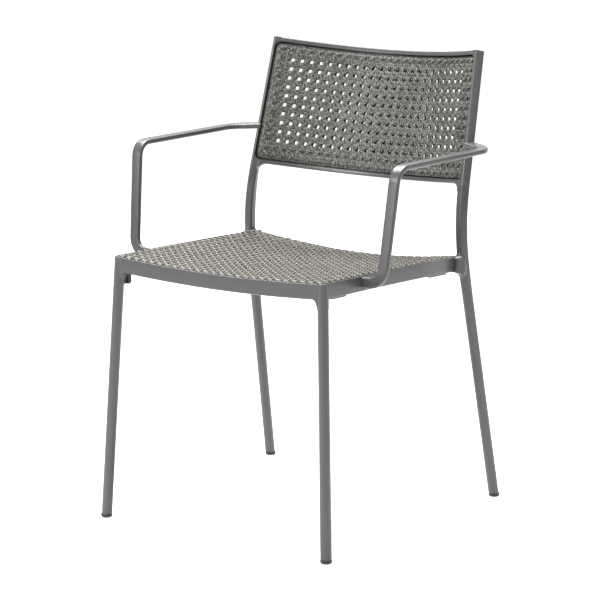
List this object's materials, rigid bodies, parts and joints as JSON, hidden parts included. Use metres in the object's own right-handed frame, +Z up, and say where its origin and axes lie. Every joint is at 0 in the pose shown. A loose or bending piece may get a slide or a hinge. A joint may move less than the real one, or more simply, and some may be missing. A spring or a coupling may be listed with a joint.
{
  "type": "stacking armchair",
  "caption": "Stacking armchair with a bent tube frame, a dished woven seat, a double-layer woven back panel and flat bar arms.",
  "frame": {"origin": "middle of the footprint box, on the floor under the glides", "axes": "+Z up; the chair's front faces -Y; +X is the right-hand side for someone who looks at it from the front"},
  "size_m": [0.579, 0.5864, 0.8209],
  "materials": {
    "frame": "fine matt powder coat",
    "weave": "matt flat strands",
    "panel_rim": "matt",
    "glide": "matt"
  },
  "bodies": {
    "root": {"front_leg_right": "frame", "front_leg_left": "frame", "rear_leg_right": "frame", "rear_leg_left": "frame", "foot_glide_front_right": "glide", "foot_glide_front_left": "glide", "foot_glide_rear_right": "glide", "foot_glide_rear_left": "glide", "seat_front_rail": "frame", "seat_side_rail_right": "frame", "seat_side_rail_left": "frame", "seat_rear_rail": "frame", "rear_corner_right": "frame", "rear_corner_left": "frame", "back_top_rail": "frame", "back_lower_rail": "frame", "arm_right": "frame", "arm_left": "frame", "back_front_web": "weave", "back_rear_web": "weave", "back_panel_ring": "panel_rim", "seat_web": "weave", "seat_panel_ring": "panel_rim", "seat_cross_bar_front": "frame", "seat_cross_bar_rear": "frame", "stacking_pad_front_right": "glide", "stacking_pad_front_left": "glide", "stacking_pad_rear_right": "glide", "stacking_pad_rear_left": "glide", "stacking_buffer_right": "glide", "stacking_buffer_left": "glide"}
  },
  "joints": []
}
